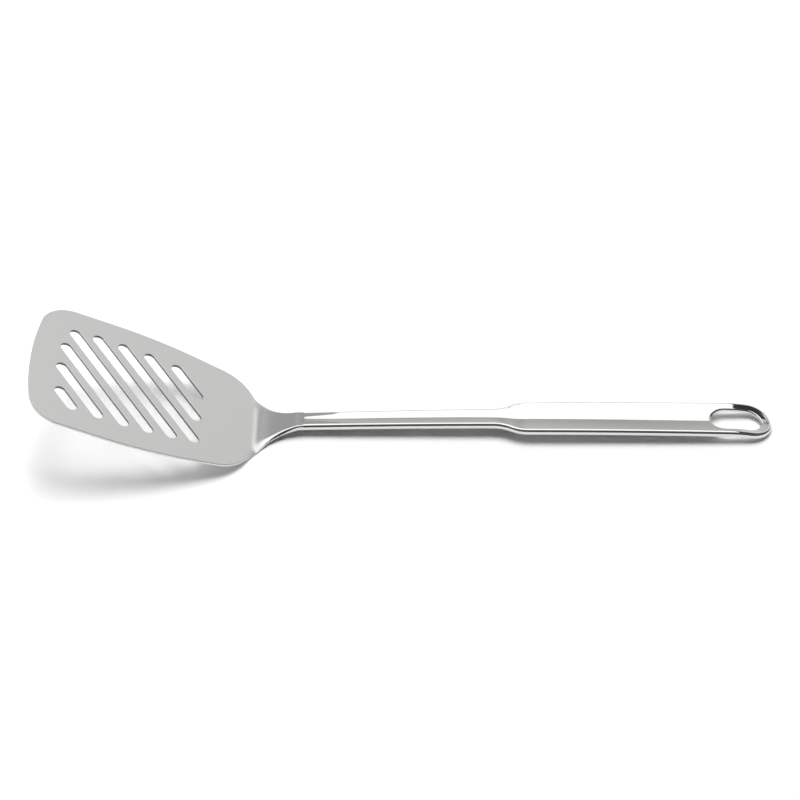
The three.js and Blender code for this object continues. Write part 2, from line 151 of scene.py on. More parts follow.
def crowned_handle():
    """Neck, one long crown and a tail that droops until its lower edge is level with the heel."""
    neck_length = sum(length for length, turn in neck_chain)
    droop = 0.0
    for _ in range(DROOP_ROUNDS):
        crown_length = TAIL_END - neck_length - TAIL_RADIUS * droop
        crowned = neck_chain + [bend(CROWN_RADIUS, -crown_length / CROWN_RADIUS)]
        x, z, slope = follow(crowned, neck_length + crown_length)
        level = (TAIL_RADIUS * math.cos(slope) - z - BLADE_SHEET) / (TAIL_RADIUS - RIM_WALL)
        droop = math.acos(level) + slope
    return crowned + [bend(TAIL_RADIUS, -droop)]


handle_chain = crowned_handle()


def spine(s):
    if s >= 0:
        return follow(handle_chain, s)
    x, z, slope = follow(blade_chain, -s)
    return -x, z, -slope


TAIL_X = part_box("handle_top_shell")[1][0]
SHIFT_X = TAIL_X * 1000 - spine(TAIL_END)[0]


def place(s, y, n):
    x, z, slope = spine(s)
    x += SHIFT_X - n * math.sin(slope)
    z += BLADE_SHEET + n * math.cos(slope)
    return x / 1000, y / 1000, z / 1000


print("tail end at", [round(c * 1000, 2) for c in place(TAIL_END, 0, 0)], "mm")

# %% [markdown]
# ## A skin of rows
# Every piece here is a sheet with a cross-section that changes along the tool. Modelling such sheets by
# hand leaves dents that a mirror finish shows at once. Rows of points that follow one rule, joined row
# by row, keep the reflections clean. `Skin` gathers the points and faces and turns them into an object,
# merging points that coincide and leaving a sharp edge only where two faces meet steeply.

# %% Skin
MERGE_DISTANCE = 2e-6
SLIVER = 1e-7


class Skin:
    def __init__(self):
        self.points = []
        self.faces = []

    def row(self, points):
        first = len(self.points)
        self.points.extend(points)
        return list(range(first, len(self.points)))

    def bridge(self, one, other):
        for a, b, c, d in zip(one, one[1:], other[1:], other):
            self.faces.append((a, b, c, d))

    def join(self, rows):
        for one, other in zip(rows, rows[1:]):
            self.bridge(one, other)

    def piece(self, name, sharp):
        mesh = bpy.data.meshes.new(name)
        mesh.from_pydata(self.points, [], self.faces)
        bm = bmesh.new()
        bm.from_mesh(mesh)
        bmesh.ops.remove_doubles(bm, verts=bm.verts, dist=MERGE_DISTANCE)
        bmesh.ops.dissolve_degenerate(bm, edges=bm.edges, dist=SLIVER)
        bmesh.ops.recalc_face_normals(bm, faces=bm.faces)
        open_edges = sum(1 for edge in bm.edges if not edge.is_manifold)
        bm.to_mesh(mesh)
        bm.free()
        mesh.shade_smooth()
        mesh.set_sharp_from_angle(angle=sharp)
        print(name, len(mesh.vertices), "points,", len(mesh.polygons), "faces,", open_edges, "open edges")
        return new_object(name, mesh)


def steps(start, end, spacing):
    return list(np.linspace(start, end, max(2, round(abs(end - start) / spacing) + 1)))


def eased(s, start, end):
    t = min(max((s - start) / (end - start), 0), 1)
    return t * t * (3 - 2 * t)


# %% [markdown]
# ## The blade's outline
# The blank is cut with a bowed tip, round corners, sides that draw in a little, and two round shoulders
# that run into the neck. It is drawn here as one half, from the weld at the neck to the tip, as points
# with the direction in which the edge faces. The other half is its mirror image.

# %% Blade outline
BLADE_HALF_WIDTH = 40.9
TIP_RADIUS = 180.0
CORNER_RADIUS = 15.5
SIDE_BOW_RADIUS = 204.0
SIDE_ANGLE = math.radians(12)
SIDE_RUN = 11.5
SHOULDER_RADIUS = 22.0
SHOULDER_ANGLE = math.radians(55)
THROAT_RADIUS = 26.1
NECK_HALF_WIDTH = 5.35
WELD = 22.05
TIP_POINTS = 36
WELD_STEPS = (0.06, 0.15)
LEAST_STEP = 0.12
CORNER_HEADING = 1.0


def draw_blade_outline():
    """Half the outline as (s, half width, heading) points, arc by arc from the neck to the tip."""
    points = []

    def turn(start, end, radius, count):
        s0, w0 = at
        signed = math.copysign(radius, end - start)
        for a in np.linspace(start, end, count):
            s = s0 - signed * (math.sin(a) - math.sin(start))
            w = w0 + signed * (math.cos(start) - math.cos(a))
            points.append((s, w, a))
        return points[-1][:2]

    def run(heading, length, count):
        s0, w0 = at
        for d in np.linspace(0, length, count)[1:]:
            points.append((s0 - d * math.cos(heading), w0 + d * math.sin(heading), heading))
        return points[-1][:2]

    at = (NECK_FROM_HEEL, NECK_HALF_WIDTH)
    throat_rise = THROAT_RADIUS * (1 - math.cos(SHOULDER_ANGLE))
    shoulder_rise = SHOULDER_RADIUS * (math.cos(SIDE_ANGLE) - math.cos(SHOULDER_ANGLE))
    side_rise = SIDE_RUN * math.sin(SIDE_ANGLE) + SIDE_BOW_RADIUS * (1 - math.cos(SIDE_ANGLE))
    straight_rise = BLADE_HALF_WIDTH - NECK_HALF_WIDTH - throat_rise - shoulder_rise - side_rise
    at = turn(0, SHOULDER_ANGLE, THROAT_RADIUS, count=120)
    at = run(SHOULDER_ANGLE, straight_rise / math.sin(SHOULDER_ANGLE), count=14)
    at = turn(SHOULDER_ANGLE, SIDE_ANGLE, SHOULDER_RADIUS, count=40)
    at = run(SIDE_ANGLE, SIDE_RUN, count=12)
    at = turn(SIDE_ANGLE, 0, SIDE_BOW_RADIUS, count=30)
    tip_centre = TIP_RADIUS - BLADE_LENGTH
    corner_width = BLADE_HALF_WIDTH - CORNER_RADIUS
    lean = math.asin(corner_width / (TIP_RADIUS - CORNER_RADIUS))
    corner_s = tip_centre - (TIP_RADIUS - CORNER_RADIUS) * math.cos(lean)
    at = run(0, at[0] - corner_s, count=8)
    at = turn(0, lean - math.pi / 2, CORNER_RADIUS, count=34)
    for a in np.linspace(lean, 0, TIP_POINTS)[1:]:
        s = tip_centre - TIP_RADIUS * math.cos(a)
        points.append((s, TIP_RADIUS * math.sin(a), a - math.pi / 2))
    return points


def neck_outline():
    """The full-length half outline, cut off at the weld."""
    drawn = draw_blade_outline()
    weld_turn = math.asin((NECK_FROM_HEEL - WELD) / THROAT_RADIUS)
    weld_width = NECK_HALF_WIDTH + THROAT_RADIUS * (1 - math.cos(weld_turn))
    kept = [(WELD, weld_width, weld_turn)]
    kept += [(WELD - d, weld_width + d * math.tan(weld_turn), weld_turn) for d in WELD_STEPS]
    for point in drawn:
        in_corner = point[0] < 0 and abs(point[2]) > CORNER_HEADING
        if in_corner or kept[-1][0] - point[0] > LEAST_STEP:
            kept.append(point)
    return kept


blade_edge = neck_outline()
print("blade outline:", len(blade_edge), "points from", round(blade_edge[0][0], 1), "to",
      round(blade_edge[-1][0], 1), "mm along the spine")

# %% [markdown]
# ## Turned-down neck
# A flat strip as narrow as this neck would bend in use, so the press turns its edges down. The fold
# starts wide and shallow at the heel and gets steeper and tighter towards the handle. A bevel can't
# change its radius along an edge, so the cross-section is written out: how wide the fold is, how far it
# turns, how deep the edge reaches, and how much the middle is crowned up where the fold starts.

# %% Neck fold
FOLD_AT = (-5.0, -3.0, -1.5, 0.0, 2.0, 4.0, 6.0, 8.5, 13.0, WELD)
FOLD_WIDTH = (0.0, 2.2, 5.5, 8.0, 6.6, 3.8, 2.5, 1.9, 1.5, 0.9)
FOLD_TURN = (0.0, 3.0, 7.0, 11.0, 15.0, 22.0, 34.0, 50.0, 74.0, 90.0)
CROWN = (0.0, 0.0, 0.06, 0.25, 0.38, 0.36, 0.25, 0.1, 0.0, 0.0)
FLANGE_FROM_HEEL = 3.0
EDGE_BREAK = 0.28
UNDER_FILLET = 0.5
LEAST_WALL = 0.3
FOLD_ROWS = 14
ROUND_ROWS = 5
UNDER_ROWS = 9


def smooth_through(s, at, values):
    """A cubic through the listed values, level at both ends."""
    if s <= at[0] or s >= at[-1]:
        return values[0] if s <= at[0] else values[-1]
    slope = np.gradient(values, at)
    slope[0] = slope[-1] = 0
    i = int(np.searchsorted(at, s)) - 1
    h = at[i + 1] - at[i]
    t = (s - at[i]) / h
    return (
        (2 * t**3 - 3 * t**2 + 1) * values[i] + (t**3 - 2 * t**2 + t) * h * slope[i]
        + (3 * t**2 - 2 * t**3) * values[i + 1] + (t**3 - t**2) * h * slope[i + 1]
    )


def neck_depth(s):
    """How far the lower edge hangs below the top of the sheet's outer edge line."""
    return BLADE_SHEET + (RIM_WALL - BLADE_SHEET) * eased(s, FLANGE_FROM_HEEL, WELD)


def blade_profile(s):
    """(inset, height) points from the flat top, over the fold and the edge, to the flat underside."""
    width = smooth_through(s, FOLD_AT, FOLD_WIDTH)
    turn = math.radians(smooth_through(s, FOLD_AT, FOLD_TURN))
    crown = smooth_through(s, FOLD_AT, CROWN)
    folded = eased(s, FOLD_AT[0], FOLD_AT[3])
    outer = EDGE_BREAK * (1 - math.sin(turn))
    points = []
    radius = width / math.sin(turn) if turn > 1e-4 else 0
    for a in np.linspace(0, turn, FOLD_ROWS + 1):
        points.append((outer + width - radius * math.sin(a), crown - radius * (1 - math.cos(a))))
    fold_low = points[-1][1]
    for a in np.linspace(turn, math.pi / 2, ROUND_ROWS + 1)[1:]:
        inset = EDGE_BREAK * (1 - math.sin(a))
        points.append((inset, fold_low - EDGE_BREAK * (math.cos(turn) - math.cos(a))))
    low = min(-neck_depth(s), points[-1][1] - LEAST_WALL)
    for a in np.linspace(0, math.pi / 2, ROUND_ROWS + 1):
        points.append((EDGE_BREAK * (1 - math.cos(a)), low + EDGE_BREAK * (1 - math.sin(a))))
    under_start = BLADE_SHEET - EDGE_BREAK
    under_end = max(BLADE_SHEET + UNDER_FILLET, outer + width)
    for t in np.linspace(0, 1, UNDER_ROWS):
        inset = EDGE_BREAK + (under_start - EDGE_BREAK + (under_end - under_start) * t) * folded
        points.append((inset, low + (crown - BLADE_SHEET - low) * (t * t * (3 - 2 * t))))
    return points


lower_edge = [place(s, 0, blade_profile(s)[-UNDER_ROWS][1])[2] for s in steps(FOLD_AT[0], WELD, 0.25)]
print("lowest point of the turned-down edge:", round(min(lower_edge) * 1000, 2), "mm above the table")

# %% [markdown]
# ## Slots
# The drain slots are punched: parallel, round-ended and slanted, each as long as the slotted field
# allows. Boolean cutters would do it, but they leave ragged faces round each hole. What repeats is a
# rule, so Geometry Nodes make it: one round punch, placed on a point for each slot, pulled apart along
# the slant to its length, with its upper and lower edge slightly rounded. The same tree then fills the
# flat sheet between the blade's border and the punched edges, above and below.

# %% Slot places
SLOT_COUNT = 8
SLOT_WIDTH = 5.3
SLOT_PITCH = 9.47
SLOT_ANGLE = math.radians(52.1)
SLOT_SIDE_MARGIN = 12.3
SLOT_TIP_MARGIN = 12.1
SLOT_HEEL_LAND = 26.0
SLOT_FIELD_CORNER = 5.5
SLOT_PATTERN_FROM_HEEL = 63.3
SLOT_GROWTH = 0.05
FLAT_FROM_HEEL = 5.5

outline_s = np.array([p[0] for p in reversed(blade_edge)])
outline_w = np.array([p[1] for p in reversed(blade_edge)])


def in_slot_field(s, y):
    """Inside the margins from tip, sides and heel, and inside the field's round corners."""
    radius = SLOT_WIDTH / 2
    tip_centre = TIP_RADIUS - BLADE_LENGTH
    from_tip = TIP_RADIUS - math.hypot(s - tip_centre, y) - SLOT_TIP_MARGIN - radius
    from_side = np.interp(s, outline_s, outline_w) - abs(y) - SLOT_SIDE_MARGIN - radius
    into_tip, into_side = (max(SLOT_FIELD_CORNER - d, 0) for d in (from_tip, from_side))
    return s + radius <= -SLOT_HEEL_LAND and math.hypot(into_tip, into_side) <= SLOT_FIELD_CORNER


def slot_places():
    """The middle and half length of each slot, grown both ways from the pattern's centre line."""
    along = (-math.cos(SLOT_ANGLE), math.sin(SLOT_ANGLE))
    places = []
    for number in range(SLOT_COUNT):
        offset = (number - (SLOT_COUNT - 1) / 2) * SLOT_PITCH
        s0 = math.sin(SLOT_ANGLE) * offset - SLOT_PATTERN_FROM_HEEL
        y0 = math.cos(SLOT_ANGLE) * offset
        ends = []
        for way in (-1, 1):
            reach = 0.0
            while in_slot_field(s0 + way * reach * along[0], y0 + way * reach * along[1]):
                reach += SLOT_GROWTH
            ends.append(way * reach)
        middle = sum(ends) / 2
        places.append((s0 + middle * along[0], y0 + middle * along[1], (ends[1] - ends[0]) / 2))
    return places


slots = slot_places()
print("slot lengths:", [round(2 * half + SLOT_WIDTH, 1) for s, y, half in slots], "mm")

# %% Node helpers
def add_node(tree, kind, inputs=None, **settings):
    """Adds a node, sets its properties, and sets or links its inputs by name or number.

    A node given as an input stands for its first output.
    """
    node = tree.nodes.new(kind)
    for name, value in settings.items():
        setattr(node, name, value)
    for key, value in (inputs or {}).items():
        if isinstance(value, bpy.types.Node):
            value = value.outputs[0]
        if isinstance(value, bpy.types.NodeSocket):
            tree.links.new(value, node.inputs[key])
        else:
            node.inputs[key].default_value = value
    return node


def calc(tree, operation, *values, **settings):
    """The result of a math node on the given numbers or sockets."""
    inputs = dict(enumerate(values))
    return add_node(tree, "ShaderNodeMath", inputs, operation=operation, **settings).outputs[0]


def mix(tree, factor, one, other):
    """One number or socket that goes over into another."""
    return add_node(tree, "ShaderNodeMix", {"Factor": factor, 2: one, 3: other}).outputs[0]


# %% Slotted sheet tree: sockets
tree = bpy.data.node_groups.new("slotted sheet", "GeometryNodeTree")
tree.is_modifier = True


def tree_socket(label, kind, way="INPUT", value=None):
    socket = tree.interface.new_socket(label, in_out=way, socket_type="NodeSocket" + kind)
    if value is not None:
        socket.default_value = value


def geo(kind, inputs=None, **settings):
    return add_node(tree, "GeometryNode" + kind, inputs, **settings)


tree_socket("Border and slots", "Geometry")
tree_socket("Slot width", "Float", value=SLOT_WIDTH / 1000)
tree_socket("Sheet", "Float", value=BLADE_SHEET / 1000)
tree_socket("Edge rounding", "Float", value=EDGE_BREAK / 1000)
tree_socket("Slant", "Float", value=math.pi - SLOT_ANGLE)
tree_socket("Metal", "Material")
tree_socket("Slotted sheet", "Geometry", way="OUTPUT")
given = tree.nodes.new("NodeGroupInput").outputs
print("slotted sheet tree:", len(tree.interface.items_tree), "sockets")

# %% Slotted sheet tree: one punch
# A tube whose rows run from the rounded upper edge down to the rounded lower one.
PUNCH_ROWS = 5
PUNCH_SEGMENTS = 2 * PUNCH_ROWS + 1
PUNCH_POINTS = 64


def position():
    return add_node(tree, "ShaderNodeSeparateXYZ", {0: geo("InputPosition")}).outputs


tube = geo("MeshCylinder", {
    "Vertices": PUNCH_POINTS, "Side Segments": PUNCH_SEGMENTS, "Radius": 1.0, "Depth": 1.0,
}, fill_type="NONE")
spot = position()
from_face = add_node(tree, "ShaderNodeMapRange", {
    "Value": calc(tree, "ABSOLUTE", spot["Z"]), "From Min": 0.5, "From Max": 0.5 / PUNCH_SEGMENTS,
    "To Min": 0.0, "To Max": math.pi / 2,
}).outputs[0]
spread = calc(tree, "SUBTRACT", 1.0, calc(tree, "SINE", from_face))
sunk = calc(tree, "SUBTRACT", 1.0, calc(tree, "COSINE", from_face))
half_slot = calc(tree, "MULTIPLY", given["Slot width"], 0.5)
half_sheet = calc(tree, "MULTIPLY", given["Sheet"], 0.5)
radius = calc(tree, "MULTIPLY_ADD", spread, given["Edge rounding"], half_slot)
height = calc(tree, "SUBTRACT", half_sheet, calc(tree, "MULTIPLY", sunk, given["Edge rounding"]))
depth = calc(tree, "MULTIPLY", height, calc(tree, "SIGN", spot["Z"]))
shaped = add_node(tree, "ShaderNodeCombineXYZ", {
    "X": calc(tree, "MULTIPLY", spot["X"], radius),
    "Y": calc(tree, "MULTIPLY", spot["Y"], radius),
    "Z": calc(tree, "SUBTRACT", depth, half_sheet),
})
marked = geo("StoreNamedAttribute", {
    "Geometry": tube.outputs["Mesh"], "Name": "end_of_slot", "Value": calc(tree, "SIGN", spot["X"]),
}, data_type="FLOAT", domain="POINT")
punch = geo("SetPosition", {"Geometry": marked, "Position": shaped})
print("one punch:", PUNCH_SEGMENTS, "segments of", PUNCH_POINTS, "points")


# %% Slotted sheet tree: all slots
# A punch on each slot's middle, turned to the slant and pulled apart to the slot's length.
def stored(name):
    return geo("InputNamedAttribute", {"Name": name}, data_type="FLOAT").outputs[0]


half_length = stored("half_length")
middles = geo("MeshToPoints", {
    "Mesh": given["Border and slots"], "Selection": calc(tree, "GREATER_THAN", half_length, 0.0),
})
turned = add_node(tree, "ShaderNodeCombineXYZ", {"Z": given["Slant"]})
placed = geo("InstanceOnPoints", {"Points": middles, "Instance": punch, "Rotation": turned})
single = geo("RealizeInstances", {0: placed})
slant = add_node(tree, "ShaderNodeCombineXYZ", {
    "X": calc(tree, "COSINE", given["Slant"]), "Y": calc(tree, "SINE", given["Slant"]),
})
pulled = add_node(tree, "ShaderNodeVectorMath", {
    "Vector": slant, "Scale": calc(tree, "MULTIPLY", half_length, stored("end_of_slot")),
}, operation="SCALE")
walls = geo("SetPosition", {"Geometry": single, "Offset": pulled})
print("all slots:", SLOT_COUNT, "punches")

# %% Slotted sheet tree: flat faces
# The flat faces lie between the border and the rims of the slots, above and below.
border = geo("MeshToCurve", {"Mesh": given["Border and slots"]})
faces_at_edge = geo("InputMeshEdgeNeighbors")
rim_edge = add_node(tree, "FunctionNodeCompare", {
    "A": faces_at_edge, "B": 1,
}, data_type="INT", operation="EQUAL")
is_upper = add_node(tree, "FunctionNodeCompare", {
    "A": position()["Z"], "B": calc(tree, "MULTIPLY", half_sheet, -1.0),
}, data_type="FLOAT", operation="GREATER_THAN")
upper_rim = add_node(tree, "FunctionNodeBooleanMath", {0: rim_edge, 1: is_upper}, operation="AND")
rims = geo("MeshToCurve", {"Mesh": walls, "Selection": upper_rim})
loops = geo("JoinGeometry")
for part in (border, rims):
    tree.links.new(part.outputs[0], loops.inputs[0])
upper_face = geo("FillCurve", {0: loops}, mode="TRIANGLES")
down = add_node(tree, "ShaderNodeCombineXYZ", {"Z": calc(tree, "MULTIPLY", given["Sheet"], -1.0)})
lowered = geo("Transform", {"Geometry": upper_face, "Translation": down})
lower_face = geo("FlipFaces", {"Mesh": lowered})
joined = geo("JoinGeometry")
for part in (walls, upper_face, lower_face):
    tree.links.new(part.outputs[0], joined.inputs[0])
whole = geo("RealizeInstances", {0: joined})
merged = geo("MergeByDistance", {"Geometry": whole, "Distance": MERGE_DISTANCE})
dressed = geo("SetMaterial", {"Geometry": merged, "Material": given["Metal"]})
add_node(tree, "NodeGroupOutput", {0: dressed})
print("slotted sheet tree:", len(tree.nodes), "nodes")

# %% [markdown]
# ## Satin steel
# The blade is stainless steel sheet, ground to a fine satin that scatters light evenly, while the neck is
# buffed with the handle. A single roughness would make the blade look like grey plastic or the neck like
# cast metal, so roughness falls off past the heel, and a fine grit breaks both up. Grit of 0.1 mm is too
# fine to show at this distance, so it is drawn at about 0.5 mm. The slots' walls are sheared by the punch
# and never ground; a mark on them mixes in a much darker grey, which is painted shade on those walls.

# %% Material helpers
NOISE_LOW = 0.3
NOISE_HIGH = 0.7


def linear(hex_colour):
    """An sRGB hex colour as linear RGBA."""
    parts = [int(hex_colour[i:i + 2], 16) / 255 for i in (1, 3, 5)]
    return [c / 12.92 if c <= 0.04045 else ((c + 0.055) / 1.055) ** 2.4 for c in parts] + [1.0]


def new_material(name, constants):
    """A material with constants on its shader's own sockets, its node tree and its shader."""
    material = bpy.data.materials.new(name)
    material.use_nodes = True
    shader = material.node_tree.nodes["Principled BSDF"]
    for socket, value in constants.items():
        shader.inputs[socket].default_value = value
    print("material:", name)
    return material, material.node_tree, shader


def uneven(tree, noise, low, high):
    """A value that wanders from low to high with a noise."""
    return add_node(tree, "ShaderNodeMapRange", {
        "Value": noise, "From Min": NOISE_LOW, "From Max": NOISE_HIGH,
        "To Min": low, "To Max": high,
    }).outputs[0]


# %% Satin steel
# To the eye: an even grey sheen on the blade, a soft mirror on the neck and dark walls in the slots,
# which are painted shade.
HEEL_X = place(0, 0, 0)[0]
BUFFED_OVER = 0.01
NECK_ROUGHNESS = 0.06

satin, nodes, metal = new_material("stainless_satin_blade", {"Metallic": 1.0})
# Painted shade: the marked slot walls take a much darker grey than the rest of the blade.
sheared_wall_shade = add_node(nodes, "ShaderNodeAttribute", attribute_name="sheared_wall_shade").outputs["Fac"]
colour = add_node(nodes, "ShaderNodeMix", {
    "Factor": sheared_wall_shade, 6: linear("#D6D6D5"), 7: linear("#6E6E6C"),
}, data_type="RGBA")
nodes.links.new(colour.outputs[2], metal.inputs["Base Color"])
spot = add_node(nodes, "ShaderNodeTexCoord").outputs["Object"]
grit = add_node(nodes, "ShaderNodeTexNoise", {"Vector": spot, "Scale": 2000.0, "Detail": 3.0})
along = add_node(nodes, "ShaderNodeSeparateXYZ", {0: spot}).outputs["X"]
satin_share = add_node(nodes, "ShaderNodeMapRange", {
    "Value": along, "From Min": HEEL_X, "From Max": HEEL_X + BUFFED_OVER, "To Min": 1.0, "To Max": 0.0,
}, interpolation_type="SMOOTHSTEP").outputs[0]
roughness = mix(nodes, satin_share, NECK_ROUGHNESS, uneven(nodes, grit, 0.30, 0.38))
nodes.links.new(roughness, metal.inputs["Roughness"])
bump = add_node(nodes, "ShaderNodeBump", {
    "Height": calc(nodes, "MULTIPLY", grit, satin_share), "Strength": 0.12, "Distance": 0.0001,
})
nodes.links.new(bump.outputs[0], metal.inputs["Normal"])
print("satin up to", round(HEEL_X * 1000, 1), "mm, buffed over the next", BUFFED_OVER * 1000, "mm")

# %% [markdown]
# ## Slotted blade
# The flat panel comes from the node tree, and the rounded border, the heel and the turned-down neck come
# from the cross-section. The two share their points along the border, so they merge into one closed
# sheet. The panel is made lying flat, and `place` then lifts it to the blade's tilt. Area-weighted
# normals keep the flat faces truly flat beside the small roundings.

# %% Slotted blade
def blade_rows(edge):
    """Left-hand profiles of the blade, as (s, y, n), one list for each outline point."""
    rows = []
    for s, w, heading in edge:
        # Square to the edge round the blade, square to the spine along the neck, so that no rows cross.
        aslant = heading * (1 - eased(s, FOLD_AT[0], FOLD_AT[3]))
        rows.append([
            (s - inset * math.sin(aslant), max(w - inset * math.cos(aslant), 0), n)
            for inset, n in blade_profile(s)
        ])
    return rows


left = blade_rows(blade_edge)
flat_from = next(i for i, (s, w, h) in enumerate(blade_edge) if s < -FLAT_FROM_HEEL)

# The panel's border and the slots' middles, lying flat.
border = [row[0][:2] for row in left[flat_from:]]
border += [(s, -y) for s, y in reversed(border[:-1])]
seed_mesh = bpy.data.meshes.new("panel_seed")
seed_points = [(s / 1000, y / 1000, 0) for s, y in border + [slot[:2] for slot in slots]]
loop = [(i, (i + 1) % len(border)) for i in range(len(border))]
seed_mesh.from_pydata(seed_points, loop, [])
half_lengths = seed_mesh.attributes.new("half_length", "FLOAT", "POINT")
half_lengths.data.foreach_set("value", [0.0] * len(border) + [h / 1000 for s, y, h in slots])
seed = new_object("panel_seed", seed_mesh)
punching = seed.modifiers.new("slots", "NODES")
punching.node_group = tree
for item in tree.interface.items_tree:
    if item.in_out == "INPUT" and item.name == "Metal":
        punching[item.identifier] = satin
panel = bpy.data.meshes.new_from_object(seed.evaluated_get(bpy.context.evaluated_depsgraph_get()))
bpy.data.objects.remove(seed)
print("panel:", len(panel.vertices), "points,", len(panel.polygons), "faces")

# %% Slotted blade, joined
skin = Skin()
for vertex in panel.vertices:
    s, y, n = (1000 * c for c in vertex.co)
    skin.points.append(place(s, y, n))
skin.faces += [tuple(p.vertices) for p in panel.polygons]
both_sides = []
for sign in (1, -1):
    both_sides.append([skin.row([place(s, sign * y, n) for s, y, n in row]) for row in left])
    skin.join(both_sides[-1])
for face in (0, -1):
    for i in range(flat_from):
        a, b = both_sides[0][i][face], both_sides[1][i][face]
        c, d = both_sides[1][i + 1][face], both_sides[0][i + 1][face]
        skin.faces.append((a, b, c, d))
weld_end = both_sides[0][0] + both_sides[1][0][::-1]
skin.faces.append(tuple(weld_end))
blade = skin.piece("slotted_blade_sheet", sharp=math.radians(60))
blade.data.materials.append(satin)

# %% Slotted blade, marked and smoothed
# Faces in the slotted field that stand across the sheet are the sheared walls, marked here to take the
# painted shade.
FIELD_SLACK = 1.0
LAND_SLACK = 2.0
STANDS_ACROSS = 0.6

sheared_wall_shade = blade.data.attributes.new("sheared_wall_shade", "FLOAT", "FACE")
for polygon in blade.data.polygons:
    s = (polygon.center.x - HEEL_X) * 1000 / math.cos(BLADE_TILT)
    from_side = np.interp(s, outline_s, outline_w) - abs(polygon.center.y) * 1000
    in_field = from_side > SLOT_SIDE_MARGIN - FIELD_SLACK and s < LAND_SLACK - SLOT_HEEL_LAND
    normal = polygon.normal
    facing_up = abs(normal.x * math.sin(BLADE_TILT) + normal.z * math.cos(BLADE_TILT))
    sheared_wall_shade.data[polygon.index].value = float(in_field and facing_up < STANDS_ACROSS)
flatten = blade.modifiers.new("flat faces", "WEIGHTED_NORMAL")
flatten.mode = "FACE_AREA"
flatten.weight = 100
flatten.keep_sharp = True
smooth_mesh = bpy.data.meshes.new_from_object(blade.evaluated_get(bpy.context.evaluated_depsgraph_get()))
blade.modifiers.clear()
blade.data = smooth_mesh
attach(blade, "root")
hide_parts("slotted_blade")

# %% [markdown]
# ## Polished steel
# The handle is stainless steel, buffed to a mirror. A perfect mirror looks computed: real buffed sheet
# is a little wavy over a few centimetres and carries a haze of fine wipe marks. The waves come from
# broad noise in a bump, and the haze from a small change in roughness.

# %% Polished steel
# To the eye: a bright mirror, very slightly wavy and hazy.
polished, nodes, metal = new_material("stainless_mirror_polish", {
    "Base Color": linear("#DADAD8"), "Metallic": 1.0,
})
spot = add_node(nodes, "ShaderNodeTexCoord").outputs["Object"]
haze = add_node(nodes, "ShaderNodeTexNoise", {"Vector": spot, "Scale": 260.0, "Detail": 4.0})
nodes.links.new(uneven(nodes, haze, 0.035, 0.075), metal.inputs["Roughness"])
waves = add_node(nodes, "ShaderNodeTexNoise", {"Vector": spot, "Scale": 45.0, "Detail": 0.0})
wavy = add_node(nodes, "ShaderNodeBump", {"Height": waves, "Strength": 1.0, "Distance": 0.00006})
nodes.links.new(wavy.outputs[0], metal.inputs["Normal"])
print("polish:", len(nodes.nodes), "nodes")

# %% [markdown]
# ## Handle
# Shank, flare, grip and tail are one pressing with a dished top and a rim that is turned down all round.
# A swept curve profile could follow the line, but not round the tail and the hanging hole. So the rim is
# a row-by-row skin round the whole outline, the dish is filled across it, and near the hole the rows
# run from the rim to the hole's own turned-down collar.

# %% Handle outline
SHANK_HALF_WIDTH = 6.1
GRIP_HALF_WIDTH = 10.75
RIM_RADIUS = 1.3
RIM_SIDE_RADIUS = 2.3
RIM_SIDE_FROM = math.radians(66)
RIM_LEAN = math.radians(16)
SHANK_DISH_TURN = math.radians(11.6)
GRIP_DISH_TURN = math.radians(17)
DISH_RUN_IN = 16.0
RIM_LEANS_FROM = WELD + 12
RIM_LEANS_BY = WELD + 36
FLARE_RUN_IN = 14.0
HOLE_LENGTH = 22.8
HOLE_WIDTH = 13.7
HOLE_FROM_TAIL = 5.2
RIM_REACH = RIM_RADIUS * math.sin(RIM_SIDE_FROM) + RIM_SIDE_RADIUS * (1 - math.sin(RIM_SIDE_FROM))
COLLAR_ROUNDING = 0.7
GROOVE_DEPTH = 3 * math.sqrt(3) / 8
GROOVE_START_SHARE = 0.4
GROOVE_WIDENS_BY = WELD + 30
HOLE_START = TAIL_END - HOLE_FROM_TAIL - HOLE_LENGTH
HOLE_ROWS_FROM = HOLE_START - 6
WELD_ROWS = (0.0, 0.06, 0.15, 0.35)
SHANK_FROM_WELD = 0.7
SHANK_STEP = 0.8
FLARE_STEP = 0.45
GRIP_STEP = 0.9
TAIL_STEP = 0.5
TAIL_ROWS = 121


def half_width(s):
    """Half the handle's width and its slope, before the round tail."""
    if s < NECK_FROM_HEEL:
        turn = math.asin((NECK_FROM_HEEL - s) / THROAT_RADIUS)
        return NECK_HALF_WIDTH + THROAT_RADIUS * (1 - math.cos(turn)), -math.tan(turn)
    if s < FLARE_START:
        slope = (SHANK_HALF_WIDTH - NECK_HALF_WIDTH) / SHANK_LENGTH
        return NECK_HALF_WIDTH + slope * (s - NECK_FROM_HEEL), slope
    if s < GRIP_START:
        rise = GRIP_HALF_WIDTH - SHANK_HALF_WIDTH
        radius = (FLARE_LENGTH**2 + rise**2) / (4 * rise)
        along = s - FLARE_START
        end = min(along, FLARE_LENGTH - along)
        sag = radius - math.sqrt(radius**2 - end**2)
        width = SHANK_HALF_WIDTH + (sag if along < FLARE_LENGTH / 2 else rise - sag)
        return width, end / math.sqrt(radius**2 - end**2)
    slope = (TAIL_HALF_WIDTH - GRIP_HALF_WIDTH) / (TAIL_CENTRE - GRIP_START)
    return GRIP_HALF_WIDTH + slope * (s - GRIP_START), slope


def handle_stations():
    """Where the rows across the handle lie, closer together where the shape changes faster."""
    stations = [WELD + d for d in WELD_ROWS]
    stations += steps(WELD + SHANK_FROM_WELD, FLARE_START, SHANK_STEP)
    stations += steps(FLARE_START, GRIP_START, FLARE_STEP)[1:]
    stations += steps(GRIP_START, HOLE_ROWS_FROM, GRIP_STEP)[1:]
    return stations + steps(HOLE_ROWS_FROM, TAIL_CENTRE, TAIL_STEP)[1:]


